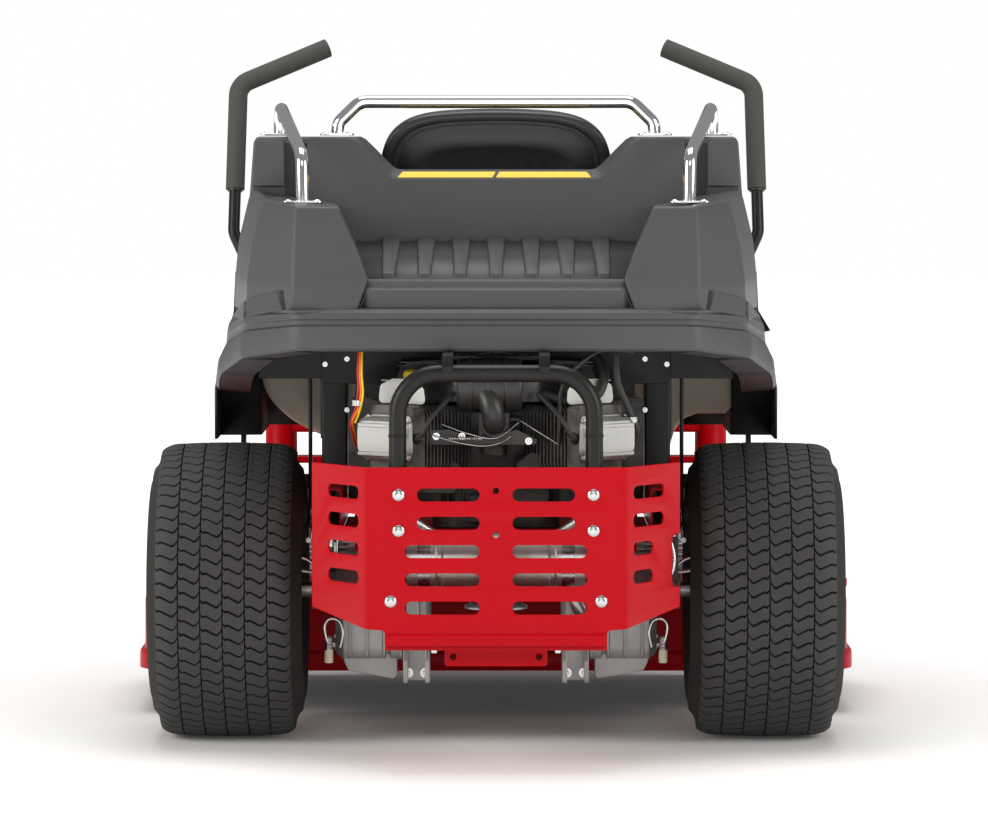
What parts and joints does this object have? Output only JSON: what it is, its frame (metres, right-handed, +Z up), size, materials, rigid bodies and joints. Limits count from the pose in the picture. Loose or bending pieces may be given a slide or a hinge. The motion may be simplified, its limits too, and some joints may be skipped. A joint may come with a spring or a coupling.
{
  "type": "zero turn mower",
  "caption": "Ride-on zero turn mower with lap-bar steering, a rear engine behind a slotted guard, a cutting deck slung under the frame, front casters and a load bed behind the seat.",
  "frame": {"origin": "on the ground, at the middle of the overall length and width", "axes": "+Z up, +Y the way the mower drives, +X the rider's right"},
  "size_m": [1.15, 1.8048, 1.082],
  "materials": {
    "red_paint": "gloss",
    "black_paint": "satin",
    "cowl_plastic": "satin",
    "chrome": "polished",
    "tyre_rubber": "matte",
    "rim_paint": "satin",
    "cast_aluminium": "cast",
    "steel": "satin",
    "black_plastic": "satin",
    "grip_foam": "matte",
    "seat_vinyl": "satin",
    "tank_plastic": "satin",
    "belt_rubber": "matte"
  },
  "bodies": {
    "chassis": {"rear_upright_frame": "black_paint", "left_frame_rail": "red_paint", "right_frame_rail": "red_paint", "front_axle_beam": "red_paint", "engine_plate": "red_paint", "rear_cradle": "red_paint", "engine_guard": "red_paint", "guard_hoop": "black_paint", "rear_cowl": "cowl_plastic", "footplate": "black_paint", "left_cargo_rail": "chrome", "right_cargo_rail": "chrome", "seat_back_rail": "chrome", "left_transaxle": "cast_aluminium", "right_transaxle": "cast_aluminium", "engine_block": "cast_aluminium", "blower_housing": "black_plastic", "left_valve_cover": "cast_aluminium", "right_valve_cover": "cast_aluminium", "muffler": "steel", "drive_belt": "belt_rubber", "left_fuel_tank": "tank_plastic", "right_fuel_tank": "tank_plastic"},
    "crank": {"engine_pulley": "steel", "engine_screen": "black_plastic"},
    "deck": {"deck_shell": "red_paint"},
    "door": {"discharge_door": "red_paint"},
    "seat_base": {"seat_hinge_plate": "black_paint"},
    "seat": {"seat_cushion": "seat_vinyl", "seat_back": "seat_vinyl"},
    "deck_lever": {"deck_lift_lever": "black_paint"},
    "brake_lever": {"parking_brake_lever": "black_paint"},
    "cap": {"fuel_cap": "black_plastic"},
    "blade_switch": {"blade_switch_knob": "red_paint"},
    "throttle": {"throttle_lever": "black_plastic"},
    "key": {"ignition_key": "steel"},
    "left_rear_wheel": {"left_rear_tyre": "tyre_rubber", "left_rear_rim": "rim_paint", "left_axle_shaft": "steel"},
    "left_caster": {"left_caster_fork": "red_paint"},
    "left_caster_wheel": {"left_caster_tyre": "tyre_rubber", "left_caster_rim": "rim_paint"},
    "left_drive": {"left_drive_pulley": "steel"},
    "left_blade_unit": {"left_spindle": "steel", "left_blade": "steel"},
    "left_arm": {"left_control_arm": "black_paint"},
    "left_lever": {"left_lap_bar": "black_paint", "left_grip": "grip_foam"},
    "right_rear_wheel": {"right_rear_tyre": "tyre_rubber", "right_rear_rim": "rim_paint", "right_axle_shaft": "steel"},
    "right_caster": {"right_caster_fork": "red_paint"},
    "right_caster_wheel": {"right_caster_tyre": "tyre_rubber", "right_caster_rim": "rim_paint"},
    "right_drive": {"right_drive_pulley": "steel"},
    "right_blade_unit": {"right_spindle": "steel", "right_blade": "steel"},
    "right_arm": {"right_control_arm": "black_paint"},
    "right_lever": {"right_lap_bar": "black_paint", "right_grip": "grip_foam"}
  },
  "joints": [
    {"name": "left_rear_wheel_spin", "type": "hinge", "parent": "chassis", "child": "left_rear_wheel", "pos_m": [-0.411, -0.39941, 0.22664], "axis": [1, 0, 0], "continuous": true},
    {"name": "left_caster_swivel", "type": "hinge", "parent": "chassis", "child": "left_caster", "pos_m": [-0.38, 0.80059, 0.363], "axis": [0, 0, 1], "continuous": true},
    {"name": "left_caster_wheel_spin", "type": "hinge", "parent": "left_caster", "child": "left_caster_wheel", "pos_m": [-0.38, 0.74059, 0.16183], "axis": [1, 0, 0], "continuous": true},
    {"name": "right_rear_wheel_spin", "type": "hinge", "parent": "chassis", "child": "right_rear_wheel", "pos_m": [0.411, -0.39941, 0.22664], "axis": [1, 0, 0], "continuous": true},
    {"name": "right_caster_swivel", "type": "hinge", "parent": "chassis", "child": "right_caster", "pos_m": [0.38, 0.80059, 0.363], "axis": [0, 0, 1], "continuous": true},
    {"name": "right_caster_wheel_spin", "type": "hinge", "parent": "right_caster", "child": "right_caster_wheel", "pos_m": [0.38, 0.74059, 0.16183], "axis": [1, 0, 0], "continuous": true},
    {"name": "crank_spin", "type": "hinge", "parent": "chassis", "child": "crank", "pos_m": [0, -0.59941, 0.3], "axis": [0, 0, 1], "continuous": true},
    {"name": "left_drive_spin", "type": "hinge", "parent": "chassis", "child": "left_drive", "pos_m": [-0.15, -0.36941, 0.3], "axis": [0, 0, 1], "continuous": true},
    {"name": "right_drive_spin", "type": "hinge", "parent": "chassis", "child": "right_drive", "pos_m": [0.15, -0.36941, 0.3], "axis": [0, 0, 1], "continuous": true},
    {"name": "deck_lift", "type": "slide", "parent": "chassis", "child": "deck", "axis": [0, 0, 1], "range_m": [-0.03, 0.04]},
    {"name": "left_blade_spin", "type": "hinge", "parent": "deck", "child": "left_blade_unit", "pos_m": [-0.265, 0.18559, 0.1], "axis": [0, 0, 1], "continuous": true},
    {"name": "right_blade_spin", "type": "hinge", "parent": "deck", "child": "right_blade_unit", "pos_m": [0.265, 0.25559, 0.1], "axis": [0, 0, 1], "continuous": true},
    {"name": "door_hinge", "type": "hinge", "parent": "deck", "child": "door", "pos_m": [0.571, 0.22059, 0.196], "axis": [0, -1, 0], "range_deg": [0, 75]},
    {"name": "seat_tilt", "type": "hinge", "parent": "chassis", "child": "seat_base", "pos_m": [0, 0.21259, 0.566], "axis": [-1, 0, 0], "range_deg": [0, 70]},
    {"name": "seat_slide", "type": "slide", "parent": "seat_base", "child": "seat", "axis": [0, 1, 0], "range_m": [-0.04, 0.06]},
    {"name": "left_arm_rock", "type": "hinge", "parent": "chassis", "child": "left_arm", "pos_m": [-0.392, -0.02941, 0.37], "axis": [-1, 0, 0], "range_deg": [-12, 18]},
    {"name": "left_lever_swing", "type": "hinge", "parent": "left_arm", "child": "left_lever", "pos_m": [-0.392, -0.02941, 0.625], "axis": [0, -1, 0], "range_deg": [0, 25]},
    {"name": "right_arm_rock", "type": "hinge", "parent": "chassis", "child": "right_arm", "pos_m": [0.392, -0.02941, 0.37], "axis": [-1, 0, 0], "range_deg": [-12, 18]},
    {"name": "right_lever_swing", "type": "hinge", "parent": "right_arm", "child": "right_lever", "pos_m": [0.392, -0.02941, 0.625], "axis": [0, 1, 0], "range_deg": [0, 25]},
    {"name": "deck_lever_pull", "type": "hinge", "parent": "chassis", "child": "deck_lever", "pos_m": [0.2855, 0.30059, 0.37], "axis": [1, 0, 0], "range_deg": [-15, 20]},
    {"name": "brake_pull", "type": "hinge", "parent": "chassis", "child": "brake_lever", "pos_m": [-0.2855, 0.30059, 0.37], "axis": [1, 0, 0], "range_deg": [0, 30]},
    {"name": "cap_turn", "type": "hinge", "parent": "chassis", "child": "cap", "pos_m": [-0.3, 0.04059, 0.7283], "axis": [0, 0, 1], "range_deg": [0, 180]},
    {"name": "switch_pull", "type": "slide", "parent": "chassis", "child": "blade_switch", "axis": [0, 0, 1], "range_m": [0, 0.012]},
    {"name": "throttle_rock", "type": "hinge", "parent": "chassis", "child": "throttle", "pos_m": [0.25, 0.00059, 0.69], "axis": [-1, 0, 0], "range_deg": [-20, 20]},
    {"name": "key_turn", "type": "hinge", "parent": "chassis", "child": "key", "pos_m": [0.335, 0.02059, 0.7203], "axis": [0, 0, -1], "range_deg": [0, 90]}
  ],
  "couplings": [
    {"joint": "left_drive_spin", "follows": "crank_spin", "ratio": 1},
    {"joint": "right_drive_spin", "follows": "crank_spin", "ratio": 1},
    {"joint": "right_blade_spin", "follows": "left_blade_spin", "ratio": 1},
    {"joint": "deck_lever_pull", "follows": "deck_lift", "rad_per_m": 8.7265}
  ]
}
